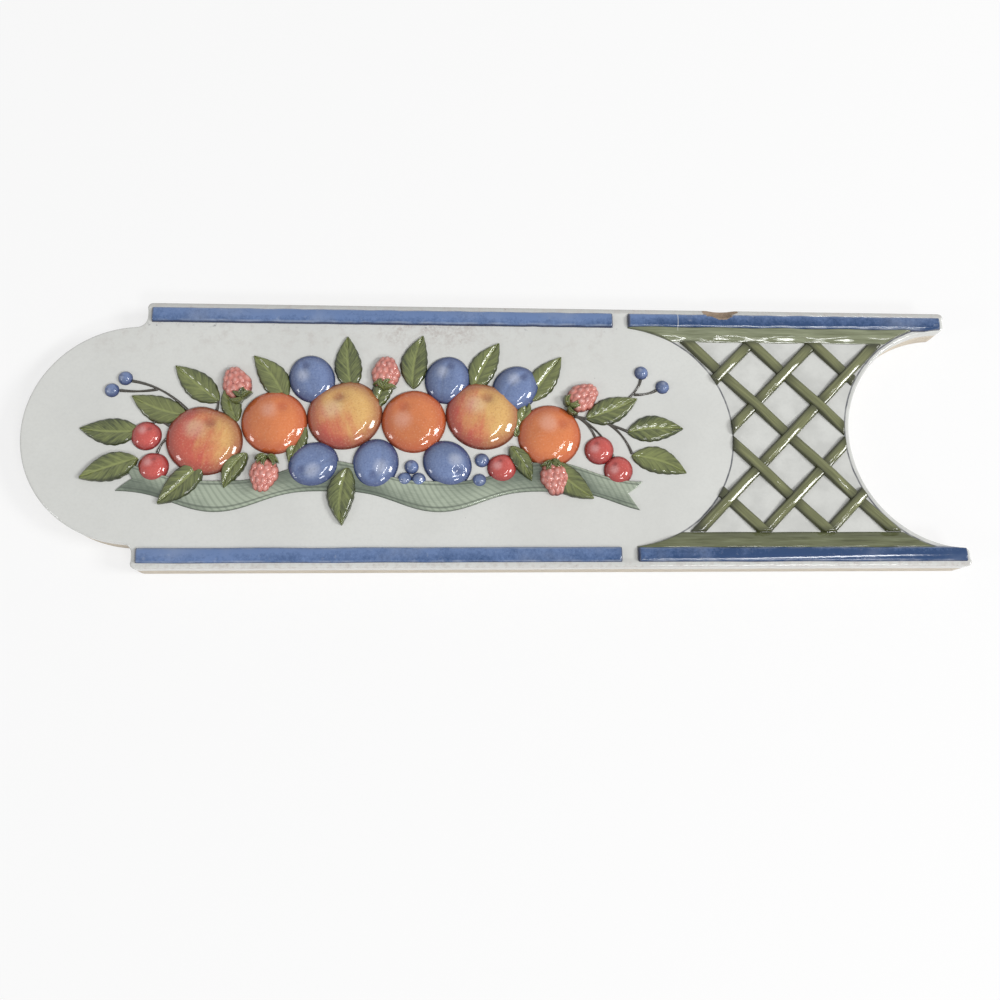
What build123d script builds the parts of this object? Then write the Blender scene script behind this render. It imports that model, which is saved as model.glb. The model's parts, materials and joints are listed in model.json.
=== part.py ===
from build123d import *
import os
from math import cos, radians, sin, sqrt

os.makedirs("parts", exist_ok=True)

# Driving dimensions in millimetres
end_radius = 26.5  # round left end
panel_run = 116.0  # centre of the round end to the gap between the stripes
trellis_run = 84.0  # that gap to the centre of the hollow end
joint_width = 1.5  # grout joint between this round end and a neighbour's hollow one
shoulder_radius = 2.6  # inside corner beside the round end
tip_radius = 1.2  # inner corner of each hollow end tip
body_thickness = 7.8  # back to glazed ground
edge_bevel = 0.8  # glazed edge
back_bevel = 0.4

# Raised stripes along both long edges
stripe_offset = 1.1  # round end's radius to the inner side of a stripe
stripe_width = 3.6
stripe_margin = 1.3  # stripe to the long edge
stripe_height = 1.2
stripe_round = 0.5
stripe_gap = 3.6  # between the long and the short stripe

# Trellis of woven canes between two rails
rail_width = 3.7
rail_height = 0.8
cane_width = 2.8
cane_height = 1.2  # half way between two crossings
cane_crown = 1.2  # flat width on top
cane_wave = 0.35  # rise over and fall under the other cane
cane_arcs = 7  # waves in one cane before it is cut to the trellis
cane_pairs = 5  # canes that lean each way
outline_margin = 1.35  # hollow edge to the trellis
panel_reach = 26.6  # stripe gap to the end of the white panel

# Garland of fruit in relief
apple_radius = 8.8
apple_height = 3.0
orange_radius = 7.8
orange_height = 2.7
plum_radius = 5.8
plum_height = 2.3
cherry_radius = 3.6
cherry_height = 1.8
leaf_length = 14.0
leaf_width = 6.4
leaf_height = 0.9
ribbon_width = 6.5
ribbon_height = 0.6
ribbon_wave = 2.5  # rise of one wave
ribbon_pitch = 26.0  # length of one half wave
ribbon_drop = 13.0  # panel axis to the middle of the ribbon

# Keyed back
back_land = 6.0  # plain rim
back_depth = 0.7
back_rib_width = 3.0
back_rib_pitch = 7.0

# How far every relief form is rooted in the body
relief_root = 1.0

# Half the width of the band in which corners are picked
pick_band = 0.01

# Places that follow
stripe_inner = end_radius + stripe_offset
half_width = stripe_inner + stripe_width + stripe_margin
length = end_radius + panel_run + trellis_run - joint_width / 2
left_x = end_radius - length / 2
gap_x = left_x + panel_run
right_x = gap_x + trellis_run
shoulder_x = left_x + joint_width / 2
tip_x = right_x - joint_width / 2
hollow_radius = end_radius + joint_width
root_z = body_thickness - relief_root
panel_x = (left_x + gap_x) / 2
panel_arc_x = gap_x + panel_reach - stripe_inner
rail_inner = stripe_inner - rail_width
trellis_right = right_x - hollow_radius - outline_margin
trellis_x = (gap_x + panel_reach + trellis_right) / 2
node_pitch = 2 * rail_inner / 3
cross_pitch = node_pitch / sqrt(2)
first_cane = (cane_pairs - 1) / 2 + 1.5  # node pitches from the trellis's middle to the first cane's foot
cane_foot = cane_width + (cane_width - cane_crown) * relief_root / cane_height


def cap_solid(radius, height):
    # A fruit: a spherical cap that starts at the root and rises above the ground.
    ball = (radius * radius + height * height) / (2 * height)
    base = sqrt(ball * ball - (ball - height - relief_root) ** 2)
    with BuildPart() as cap:
        with BuildSketch(Plane.XZ):
            with BuildLine():
                RadiusArc((base, 0), (0, height + relief_root), -ball)
                Polyline((0, height + relief_root), (0, 0), (base, 0))
            make_face()
        revolve(axis=Axis.Z)
    return cap.part


def spots(places):
    # Places on the panel, each along, up and, where it matters, a turn in degrees.
    return [Location((panel_x + x, y, root_z), (0, 0, turn[0] if turn else 0)) for x, y, *turn in places]


# Garland layout from the middle of the panel
apple_places = [(-42.0, -2.0), (-9.5, 4.5), (23.5, 4.5)]
orange_places = [(-26.0, 2.5), (7.0, 3.0), (39.5, -0.5)]
plum_places = [(-17.5, 13.5), (15.0, 13.5), (31.5, 11.5), (-16.5, -7.8), (-2.0, -7.5), (15.0, -7.5)]
cherry_places = [(-55.5, -1.0), (-53.5, -8.5), (28.0, -8.5), (51.5, -4.0), (56.0, -9.0)]
leaf_places = [
    (-8.5, 17.5, 95),
    (8.0, 18.0, 80),
    (24.5, 17.0, 62),
    (39.0, 14.0, 55),
    (-27.5, 13.5, 125),
    (-44.5, 12.0, 140),
    (-53.0, 6.5, 160),
    (-64.0, 0.5, 178),
    (-63.5, -9.0, 200),
    (55.0, 6.5, 22),
    (65.5, 1.0, 4),
    (66.0, -7.5, -18),
    (-47.0, -12.5, 225),
    (-9.0, -15.5, 265),
    (44.5, -11.5, 320),
]

apple = cap_solid(apple_radius, apple_height)
orange = cap_solid(orange_radius, orange_height)
plum = cap_solid(plum_radius, plum_height)
cherry = cap_solid(cherry_radius, cherry_height)

with BuildPart() as leaf:
    with BuildSketch():
        with BuildLine():
            ThreePointArc((-leaf_length / 2, 0), (0, leaf_width / 2), (leaf_length / 2, 0))
            ThreePointArc((leaf_length / 2, 0), (0, -leaf_width / 2), (-leaf_length / 2, 0))
        make_face()
    extrude(amount=relief_root + leaf_height)

# Ribbon behind the garland, in four tangent waves
with BuildPart() as ribbon:
    with BuildLine(Plane.XY.offset(root_z)) as ribbon_path:
        for wave in range(-2, 2):
            start_x = panel_x + wave * ribbon_pitch
            crest = ribbon_wave if wave % 2 else -ribbon_wave
            ThreePointArc(
                (start_x, -ribbon_drop),
                (start_x + ribbon_pitch / 2, crest - ribbon_drop),
                (start_x + ribbon_pitch, -ribbon_drop),
            )
    with BuildSketch(Plane(ribbon_path.line @ 0, z_dir=ribbon_path.line % 0, x_dir=(0, 0, 1))):
        Rectangle(relief_root + ribbon_height, ribbon_width, align=(Align.MIN, Align.CENTER))
    sweep(path=ribbon_path.line)

# Stripes, long over the panel and short over the trellis
with BuildPart() as stripes:
    long_start = left_x + stripe_gap / 2
    long_end = gap_x - stripe_gap / 2
    short_start = gap_x + stripe_gap / 2
    short_end = right_x - stripe_gap / 2
    long_x = (long_start + long_end) / 2
    short_x = (short_start + short_end) / 2
    stripe_y = stripe_inner + stripe_width / 2
    with BuildSketch(Plane.XY.offset(root_z)):
        with Locations((long_x, stripe_y), (long_x, -stripe_y)):
            Rectangle(long_end - long_start, stripe_width)
        with Locations((short_x, stripe_y), (short_x, -stripe_y)):
            Rectangle(short_end - short_start, stripe_width)
    extrude(amount=relief_root + stripe_height)
    fillet(stripes.edges().group_by(Axis.Z)[-1], stripe_round)
    with Locations((right_x, 0, root_z)):
        Cylinder(hollow_radius, 4 * relief_root + 4 * stripe_height, mode=Mode.SUBTRACT)

# Rails, cut to the panel's round end and to the hollow end
with BuildPart() as rails:
    with BuildSketch(Plane.XY.offset(root_z)):
        rail_span = rail_width + stripe_width / 2
        rail_y = rail_inner + rail_span / 2
        with Locations((trellis_x, rail_y), (trellis_x, -rail_y)):
            Rectangle(trellis_run - 2 * stripe_gap, rail_span)
        with Locations((panel_arc_x, 0)):
            Circle(stripe_inner, mode=Mode.SUBTRACT)
        with Locations((right_x, 0)):
            Circle(hollow_radius + outline_margin, mode=Mode.SUBTRACT)
    extrude(amount=relief_root + rail_height)

# Space that the canes fill, from the panel's round end to the hollow end
with BuildPart() as window:
    with BuildSketch(Plane.XY.offset(root_z - relief_root)):
        with Locations((trellis_x, 0)):
            Rectangle(trellis_run, 2 * rail_inner + rail_width)
        with Locations((panel_arc_x, 0)):
            Circle(stripe_inner, mode=Mode.SUBTRACT)
        with Locations((right_x, 0)):
            Circle(hollow_radius + outline_margin, mode=Mode.SUBTRACT)
    extrude(amount=3 * relief_root + 2 * cane_height)


# Canes: each one waves over and under the ones it crosses
def cane_solid(start, turn, first_over):
    # One cane from the bottom rail to the top one, as a chain of tangent arcs.
    run = Vector(cos(radians(turn)), sin(radians(turn)), 0)
    low = Vector(start, -rail_inner, body_thickness)
    with BuildPart() as cane:
        with BuildLine() as path:
            for step in range(cane_arcs):
                near = low + run * ((step - 0.5) * cross_pitch)
                far = near + run * cross_pitch
                over = first_over if step % 2 == 0 else -first_over
                ThreePointArc(near, (near + far) / 2 + Vector(0, 0, over * cane_wave), far)
        across = (-sin(radians(turn)), cos(radians(turn)), 0)
        with BuildSketch(Plane(path.line @ 0, z_dir=path.line % 0, x_dir=across)):
            with BuildLine():
                half = Polyline(
                    (0, -relief_root),
                    (cane_foot / 2, -relief_root),
                    (cane_crown / 2, cane_height),
                    (0, cane_height),
                )
                mirror(half, about=Plane.YZ)
            make_face()
        sweep(path=path.line)
        add(window.part, mode=Mode.INTERSECT)
    return cane.part


rising = []
falling = []
for step in range(cane_pairs):
    place = trellis_x + (step - first_cane) * node_pitch
    rising.append(cane_solid(place, 45, -1))
    falling.append(cane_solid(2 * trellis_x - place, 135, 1))

with BuildPart() as trellis:
    add(rising)
    add(falling)

# The fired tile
with BuildPart() as tile:
    with BuildSketch() as outline:
        with Locations(((shoulder_x + tip_x) / 2, 0)):
            Rectangle(tip_x - shoulder_x, 2 * half_width)
        with Locations((left_x, 0)):
            Circle(end_radius)
        with Locations((right_x, 0)):
            Circle(hollow_radius, mode=Mode.SUBTRACT)
        for corner_x, corner_radius in ((shoulder_x, shoulder_radius), (tip_x, tip_radius)):
            band = (corner_x - pick_band, corner_x + pick_band)
            corners = outline.vertices().filter_by_position(Axis.X, *band)
            fillet(corners.sort_by(Axis.Y)[1:3], corner_radius)
    extrude(amount=body_thickness)
    chamfer(tile.faces().sort_by(Axis.Z)[-1].edges(), edge_bevel)
    chamfer(tile.faces().sort_by(Axis.Z)[0].edges(), back_bevel)
    with BuildSketch():
        field_start = shoulder_x + back_land
        with Locations(((field_start + tip_x) / 2, 0)):
            Rectangle(tip_x - field_start, 2 * (half_width - back_land))
        with Locations((left_x, 0)):
            Circle(end_radius - back_land)
        with Locations((right_x, 0)):
            Circle(hollow_radius + back_land, mode=Mode.SUBTRACT)
        rib_count = 2 * int((half_width - back_land) / back_rib_pitch) + 1
        with GridLocations(0, back_rib_pitch, 1, rib_count):
            Rectangle(2 * length, back_rib_width, mode=Mode.SUBTRACT)
    extrude(amount=back_depth, mode=Mode.SUBTRACT)
    add(stripes.part)
    add(rails.part)
    add(trellis.part)
    add(ribbon.part)
    with Locations(spots(leaf_places)):
        add(leaf.part)
    with Locations(spots(plum_places)):
        add(plum)
    with Locations(spots(cherry_places)):
        add(cherry)
    with Locations(spots(orange_places)):
        add(orange)
    with Locations(spots(apple_places)):
        add(apple)

tile.part.label = "border_tile"
export_step(tile.part, "parts/border_tile.step")
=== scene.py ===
import json
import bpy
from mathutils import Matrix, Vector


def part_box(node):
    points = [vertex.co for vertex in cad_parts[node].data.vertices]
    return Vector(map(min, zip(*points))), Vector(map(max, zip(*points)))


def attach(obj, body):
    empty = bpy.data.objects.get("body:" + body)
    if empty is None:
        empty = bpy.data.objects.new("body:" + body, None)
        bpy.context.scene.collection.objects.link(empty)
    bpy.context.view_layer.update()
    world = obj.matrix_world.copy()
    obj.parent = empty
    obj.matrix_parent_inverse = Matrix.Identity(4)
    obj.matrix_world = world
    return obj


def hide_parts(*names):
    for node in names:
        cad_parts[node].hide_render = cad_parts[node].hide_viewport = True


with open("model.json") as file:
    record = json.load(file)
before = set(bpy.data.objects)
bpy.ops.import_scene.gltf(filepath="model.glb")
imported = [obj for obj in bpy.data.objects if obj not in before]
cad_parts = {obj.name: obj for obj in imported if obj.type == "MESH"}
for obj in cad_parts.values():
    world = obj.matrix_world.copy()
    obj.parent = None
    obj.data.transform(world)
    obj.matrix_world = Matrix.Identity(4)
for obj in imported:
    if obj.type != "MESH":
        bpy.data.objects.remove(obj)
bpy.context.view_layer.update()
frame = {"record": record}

from types import SimpleNamespace

import bmesh
import bpy
import numpy as np
from bpy.props import FloatProperty, FloatVectorProperty, PointerProperty
from bpy.types import Operator, Panel, PropertyGroup
from mathutils import Matrix, Vector

bl_info = {
    "name": "Border Tile",
    "version": (1, 0, 0),
    "blender": (4, 5, 0),
    "location": "View3D > Sidebar > Border Tile",
    "description": "Builds a glazed relief border tile around its solid model",
    "category": "Add Mesh",
}

# Frame
MM = 0.001
CAD_LOW, CAD_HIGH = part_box("border_tile")
MOUNTS = {mount["name"]: mount for mount in frame["record"]["mounts"]}

# Glaze and bare clay
GLAZE_IOR = 1.55
GLAZE_ROUGH = 0.07
BARE_ROUGH = 0.85
WHITE = (1.0, 1.0, 1.0)

# Stage: each lamp has a name, a place and an extent in metres, and a power in watts
LAMP_TARGET = (0.07, 0.0, 0.008)
LAMPS = [
    ("key_lamp", (1.18, -0.18, 1.00), (0.40, 0.36), 11.0),
    ("front_lamp", (0.58, -0.90, 1.10), (0.40, 0.18), 4.6),
    ("window_lamp", (0.58, -0.33, 1.39), (0.80, 0.06), 3.6),
    ("left_lamp", (-1.32, -0.48, 0.70), (0.25, 0.30), 2.2),
]
SKY_LIGHT = 0.37
FLOOR_COLOUR = (0.9, 0.9, 0.9)
FLOOR_GLOW = 0.7

# Grids: steps along and across the face, round its edge and down the wall, and distances in millimetres
FACE_STEPS = (220, 150)
EDGE_STEPS = 9
WALL_STEPS = 6
FACE_MARGIN = 0.2
LEAST_RISE = 0.02
WELD_REACH = 1e-4
FAR_AWAY = 1000.0

# Damage in millimetres: the chip's place is along the tile, past its upper edge and above the ground
CHIP_PLACE = (55.2, 0.2, 1.5)
CHIP_RADII = (4.5, 2.6, 2.3)
CRACK_X = 44.0
CRACK_FOOT = (26.6, 27.2)
CRACK_DEPTH = (5, 6)
DIP_LINE = (4.6, 5.4)

# Stains in millimetres: each pair runs from clean glaze to the full stain
SMUDGE_LEFT = (-36, -22)
SMUDGE_RIGHT = (2, -10)
SMUDGE_TOP = (19.0, 26.0)
STAIN_TOP = (14, 27)

# Garland layout: x and y in millimetres from the middle of the panel and a turn in degrees
APPLES = [(-42.0, -2.0, 70), (-9.5, 4.5, 110), (23.5, 4.5, 75)]
ORANGES = [(-26.0, 2.5, 60), (7.0, 3.0, 130), (39.5, -0.5, 40)]
PLUMS = [
    (-17.5, 13.5, 115), (15.0, 13.5, 75), (31.5, 11.5, 50),
    (-16.5, -7.8, 210), (-2.0, -7.5, 260), (15.0, -7.5, 320),
]
CHERRIES = [
    (-55.5, -1.0, 60), (-53.5, -8.5, 80), (28.0, -8.5, 110), (51.5, -4.0, 120), (56.0, -9.0, 130),
]
BERRIES = [
    (-61.3, 13.2, 150), (-64.2, 10.2, 180), (62.7, 15.8, 80), (67.8, 12.2, 30), (6.5, -8.3, 90),
    (4.9, -11.3, 210), (8.2, -11.4, 330), (22.6, -11.6, 240), (23.2, -6.6, 300),
]
RASPBERRIES = [
    (-35.2, 12.2, 290), (0.2, 15.2, 265), (48.0, 9.4, 215), (-28.0, -10.6, 80), (40.5, -11.2, 100),
]
LEAVES = [
    (-8.5, 17.5, 95), (8.0, 18.0, 80), (24.5, 17.0, 62), (39.0, 14.0, 55), (-27.5, 13.5, 125),
    (-44.5, 12.0, 140), (-53.0, 6.5, 160), (-64.0, 0.5, 178), (-63.5, -9.0, 200), (55.0, 6.5, 22),
    (65.5, 1.0, 4), (66.0, -7.5, -18), (-47.0, -12.5, 225), (-9.0, -15.5, 265), (44.5, -11.5, 320),
]
SMALL_LEAVES = [
    (-36.0, 7.5, 105), (33.0, 4.0, 70), (0.5, 10.5, 60),
    (-20.5, -3.0, 250), (32.5, -7.5, 300), (-34.5, -9.5, 240),
]
SMALL_LEAF_SHARE = 0.72
SEPAL_FAN = (-76, -38, 0, 38, 76)

# Twigs: start, the point that bends the curve, and end
TWIGS = [
    ((-54.3, 2.2), (-52.5, 3.2), (-50.0, 1.2)),
    ((-52.8, -5.2), (-52.0, -2.5), (-50.2, -1.0)),
    ((51.0, -1.5), (49.5, 3.0), (45.5, 5.0)),
    ((55.0, -6.0), (53.0, 1.0), (45.5, 5.0)),
    ((45.5, 4.5), (53.0, 3.5), (59.0, 0.6)),
    ((54.0, 2.8), (58.0, 0.0), (59.6, -5.0)),
    ((-46.0, 5.0), (-52.0, 11.5), (-60.0, 12.6)),
    ((-53.5, 10.6), (-57.5, 9.6), (-62.5, 10.2)),
    ((-39.5, 7.8), (-39.2, 6.8), (-39.6, 5.4)),
    ((57.0, 7.5), (62.0, 11.0), (62.5, 14.2)),
    ((60.6, 10.2), (64.0, 10.0), (66.3, 11.4)),
]


def linear(red, green, blue):
    """A colour as read off a screen, 0 to 255, in the linear light that materials use."""
    value = np.array((red, green, blue)) / 255
    return tuple(np.where(value > 0.04045, ((value + 0.055) / 1.055) ** 2.4, value / 12.92))


def size(name, millimetres, description):
    """A length property whose default is written in millimetres."""
    return FloatProperty(
        name=name, description=description, default=millimetres * MM, unit="LENGTH", precision=5)


def paint(name, rgb, description):
    """A colour property whose default is written as screen values."""
    return FloatVectorProperty(
        name=name, description=description, default=linear(*rgb), subtype="COLOR", size=3, min=0, max=1)


class BorderTileSizes(PropertyGroup):
    """Sizes of the tile's face, as in the part's source."""

    panel_run: size("Panel run", 116.0, "Round end's centre to the gap between the stripes")
    panel_reach: size("Panel reach", 26.6, "Stripe gap to the end of the white panel")
    ground: size("Ground height", 7.8, "Back to the glazed ground")
    edge_round: size("Edge rounding", 0.55, "Rounding of the glazed edge")
    lip_height: size("Lip height", 0.5, "Rise of the bare lip outside the stripes")
    corner_round: size("Corner rounding", 1.25, "Rounding of the outer corners in plan")
    shoulder_round: size("Shoulder rounding", 2.6, "Inside corner beside the round end")
    tip_round: size("Tip rounding", 1.2, "Inner corner of each hollow end tip")
    back_bevel: size("Back bevel", 0.4, "Bevel round the back")
    back_land: size("Back rim", 6.0, "Plain rim round the keyed back")
    back_depth: size("Back key depth", 0.7, "Depth of the grooves in the back")
    back_rib_pitch: size("Back rib pitch", 7.0, "Distance between the back's ribs")
    back_rib_width: size("Back rib width", 3.0, "Width of the back's ribs")
    stripe_offset: size("Stripe offset", 1.1, "Round end's radius to the inner side of a stripe")
    stripe_width: size("Stripe width", 3.6, "Width of a raised stripe")
    stripe_spread: size("Stripe spread", 0.2, "How far a stripe's glaze runs outwards")
    stripe_height: size("Stripe height", 1.2, "Rise of a stripe above the ground")
    stripe_gap: size("Stripe gap", 3.6, "Gap between the long and the short stripe")
    rail_width: size("Rail width", 3.7, "Width of a trellis rail")
    rail_height: size("Rail height", 0.8, "Rise of a rail above the ground")
    cane_width: size("Cane width", 2.8, "Width of a cane at the ground")
    cane_height: size("Cane height", 1.2, "Rise of a cane half way between two crossings")
    cane_wave: size("Cane wave", 0.35, "Rise over and fall under another cane")
    outline_margin: size("Outline margin", 1.35, "Hollow edge to the trellis")
    apple_radius: size("Apple radius", 8.8, "Radius of an apple")
    apple_height: size("Apple height", 3.0, "Rise of an apple above the ground")
    orange_radius: size("Orange radius", 7.8, "Radius of an orange")
    orange_height: size("Orange height", 2.7, "Rise of an orange above the ground")
    plum_radius: size("Plum radius", 5.8, "Radius of a plum")
    plum_height: size("Plum height", 2.3, "Rise of a plum above the ground")
    cherry_radius: size("Cherry radius", 3.6, "Radius of a cherry")
    cherry_height: size("Cherry height", 1.8, "Rise of a cherry above the ground")
    berry_radius: size("Berry radius", 1.75, "Radius of a berry")
    berry_height: size("Berry height", 1.35, "Rise of a berry above the ground")
    raspberry_radius: size("Raspberry radius", 4.5, "Half the length of a raspberry")
    raspberry_height: size("Raspberry height", 2.5, "Rise of a raspberry above the ground")
    cap_length: size("Cap leaf length", 3.4, "Length of a leaf of a raspberry's cap")
    cap_width: size("Cap leaf width", 1.5, "Width of a leaf of a raspberry's cap")
    cap_raise: size("Cap raise", 1.5, "Extra rise of a raspberry's cap")
    leaf_length: size("Leaf length", 14.0, "Length of a leaf")
    leaf_width: size("Leaf width", 6.4, "Width of a leaf")
    leaf_height: size("Leaf height", 0.9, "Rise of a leaf above the ground")
    leaf_raise: size("Leaf raise", 0.6, "Extra rise of a leaf that lies over the ribbon")
    twig_radius: size("Twig radius", 0.34, "Half the width of a twig")
    twig_height: size("Twig height", 0.42, "Rise of a twig above the ground")
    ribbon_width: size("Ribbon width", 6.5, "Width of the ribbon")
    ribbon_height: size("Ribbon height", 0.6, "Rise of the ribbon above the ground")
    ribbon_wave: size("Ribbon wave", 2.5, "Rise of one wave of the ribbon")
    ribbon_pitch: size("Ribbon pitch", 26.0, "Length of one half wave of the ribbon")
    ribbon_drop: size("Ribbon drop", 13.0, "Panel axis to the middle of the ribbon")
    relief_sink: size("Relief sink", 0.15, "How far the rim of a relief form lies below the ground")


class BorderTilePaints(PropertyGroup):
    """Colours of the glazes and of the bare body."""

    ground: paint("Ground glaze", (217, 218, 214), "Pale grey ground")
    bisque: paint("Bare body", (216, 205, 188), "Unglazed sides and back")
    clay: paint("Chipped clay", (168, 147, 126), "Bare clay and dirt in the chip")
    smudge: paint("Smudge", (186, 179, 174), "Pinkish grey stain under the upper stripe")
    line: paint("Outline", (92, 94, 100), "Thin drawn line round the panel")
    stripe: paint("Stripe blue", (98, 125, 172), "Middle blue of the stripes")
    stripe_deep: paint("Stripe deep blue", (0, 56, 106), "Deep blue of the stripes")
    stripe_edge: paint("Stripe navy", (38, 44, 74), "Dark line along the stripes")
    cane: paint("Cane olive", (117, 120, 80), "Middle green of the canes")
    cane_deep: paint("Cane deep olive", (79, 83, 44), "Shaded green of the canes")
    rail: paint("Rail grey olive", (133, 139, 110), "Greyer green of the rails")
    apple_red: paint("Apple red", (202, 88, 70), "Sunny side of an apple")
    apple_gold: paint("Apple gold", (222, 176, 104), "Shaded side of an apple")
    orange: paint("Orange", (222, 128, 72), "Skin of an orange")
    orange_deep: paint("Deep orange", (186, 84, 48), "Shaded skin of an orange")
    plum: paint("Plum blue", (112, 132, 176), "Skin of a plum")
    plum_deep: paint("Plum deep blue", (50, 62, 108), "Shaded skin of a plum")
    cherry: paint("Cherry red", (204, 84, 76), "Skin of a cherry")
    cherry_deep: paint("Cherry deep red", (138, 44, 46), "Shaded skin of a cherry")
    leaf: paint("Leaf olive", (112, 119, 68), "Middle green of a leaf")
    leaf_deep: paint("Leaf deep olive", (58, 67, 34), "Shaded green of a leaf")
    ribbon: paint("Ribbon grey green", (152, 162, 144), "Middle of the ribbon")
    # Deep grey green: the painted shade in the ribbon's folds and the colour of its twill.
    ribbon_deep: paint("Ribbon deep grey green", (92, 104, 90), "Folds of the ribbon")
    raspberry: paint("Raspberry pink", (218, 138, 124), "Skin of a raspberry")
    raspberry_deep: paint("Raspberry deep pink", (142, 58, 56), "Between a raspberry's beads")
    twig: paint("Twig brown", (74, 70, 62), "Stems and twigs")


class BorderTileStage(PropertyGroup):
    """Camera and floor."""

    camera_place: FloatVectorProperty(
        name="Camera place", description="Where the photograph was taken from", subtype="TRANSLATION",
        default=(-15.86 * MM, -66.12 * MM, 229.46 * MM), precision=5)
    camera_back: FloatVectorProperty(
        name="Camera back", description="Direction from the tile to the camera", subtype="DIRECTION",
        default=(-0.06547, -0.21887, 0.97355), precision=5)
    camera_up: FloatVectorProperty(
        name="Camera up", description="Upward direction in the picture", subtype="DIRECTION",
        default=(-0.00129, 0.97566, 0.21926), precision=5)
    lens: FloatProperty(
        name="Lens", description="Focal length on a 36 mm sensor", default=34.61, unit="CAMERA")
    floor_size: size("Floor size", 4000.0, "Side of the square floor")


def places(context):
    """All sizes in millimetres, with the places that follow from them and from the frame."""
    sizes = context.scene.border_tile_sizes
    at = SimpleNamespace(**{name: getattr(sizes, name) / MM for name in BorderTileSizes.__annotations__})
    at.end_radius = MOUNTS["round_end"]["dims"]["r_mm"]
    at.hollow_radius = MOUNTS["hollow_end"]["dims"]["r_mm"]
    at.left_x = CAD_LOW.x / MM + at.end_radius
    at.right_x = MOUNTS["hollow_end"]["pos_m"][0] / MM + at.hollow_radius
    at.tip_x = CAD_HIGH.x / MM
    at.shoulder_x = at.left_x + at.right_x - at.tip_x
    at.half_width = CAD_HIGH.y / MM
    at.gap_x = at.left_x + at.panel_run
    at.panel_x = (at.left_x + at.gap_x) / 2
    at.stripe_inner = at.end_radius + at.stripe_offset
    at.stripe_outer = at.stripe_inner + at.stripe_width + at.stripe_spread
    at.panel_arc_x = at.gap_x + at.panel_reach - at.stripe_inner
    at.rail_inner = at.stripe_inner - at.rail_width
    at.outline_radius = at.hollow_radius + at.outline_margin
    at.trellis_x = (at.gap_x + at.panel_reach + at.right_x - at.outline_radius) / 2
    at.node_pitch = 2 * at.rail_inner / 3
    at.cross_pitch = at.node_pitch / np.sqrt(2)
    at.base = at.ground - at.relief_sink
    return at


def tint(context):
    """The colour properties as plain tuples."""
    paints = context.scene.border_tile_paints
    names = BorderTilePaints.__annotations__
    return SimpleNamespace(**{name: tuple(getattr(paints, name)) for name in names})


# Surfaces


def smooth(low, high, value):
    """0 below low and 1 above high, with an S curve between them."""
    t = np.clip((value - low) / (high - low), 0, 1)
    return t * t * (3 - 2 * t)


def rounded(depth, radius):
    """Height of a quarter round at a depth inside its edge; past its radius the height stays at 1."""
    t = 1 - np.clip(depth / radius, 0, 1)
    return np.sqrt(1 - t * t)


def eased(count):
    """Steps from -1 to 1 that crowd towards both ends, as the sine of even angles."""
    return np.sin(np.linspace(-np.pi / 2, np.pi / 2, count))


def grid(first, second):
    """Two arrays that run over a grid of two parameters."""
    return np.meshgrid(first, second, indexing="ij")


def disc_grid(count):
    """A square grid drawn in to a disc: each side is shortened by the square of the other."""
    u, v = grid(eased(count), eased(count))
    return u * np.sqrt(1 - v * v / 2), v * np.sqrt(1 - u * u / 2)


def ripple(x, y, seed):
    """A smooth random wave between about -1 and 1: four sines in directions set by the seed."""
    rng = np.random.default_rng(seed)
    angle, phase = rng.uniform(0, 2 * np.pi, (2, 4))
    length = rng.uniform(0.6, 1.7, 4)
    waves = [np.sin((x * np.cos(a) + y * np.sin(a)) * k + p) for a, k, p in zip(angle, length, phase)]
    return sum(waves) / 3


def turned(x, y, degrees, centre):
    """Plan coordinates turned about zero and moved to a centre."""
    c, s = np.cos(np.radians(degrees)), np.sin(np.radians(degrees))
    return centre[0] + c * x - s * y, centre[1] + s * x + c * y


def on_panel(at, x, y, spot):
    """Plan coordinates turned and moved to a spot of the garland's layout."""
    return turned(x, y, spot[2], (at.panel_x + spot[0], spot[1]))


def sheet(points, flip=False, values=None):
    """A grid of points in millimetres, with named values on them; flip turns its faces over."""
    return SimpleNamespace(points=points, flip=flip, values=values or {})


def relief(at, x, y, height, u, v, **values):
    """A raised form: its top stands above the ground by a height that is zero on its rim, and a flat
    underside on the same grid, a little below the ground, closes it."""
    rim = np.zeros(x.shape, bool)
    rim[[0, -1], :] = True
    rim[:, [0, -1]] = True
    top = np.stack([x, y, at.base + np.where(rim, 0, np.maximum(height, LEAST_RISE))], axis=-1)
    under = np.stack([x, y, np.full(x.shape, at.base)], axis=-1)
    over, along = np.diff(top, axis=0)[:, :-1], np.diff(top, axis=1)[:-1]
    upward = (over[..., 0] * along[..., 1] - over[..., 1] * along[..., 0]).sum() > 0
    values = {"u": u, "v": v, **values}
    values = {name: np.broadcast_to(value, x.shape) for name, value in values.items()}
    return [sheet(top, not upward, values), sheet(under, upward, values)]


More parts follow.
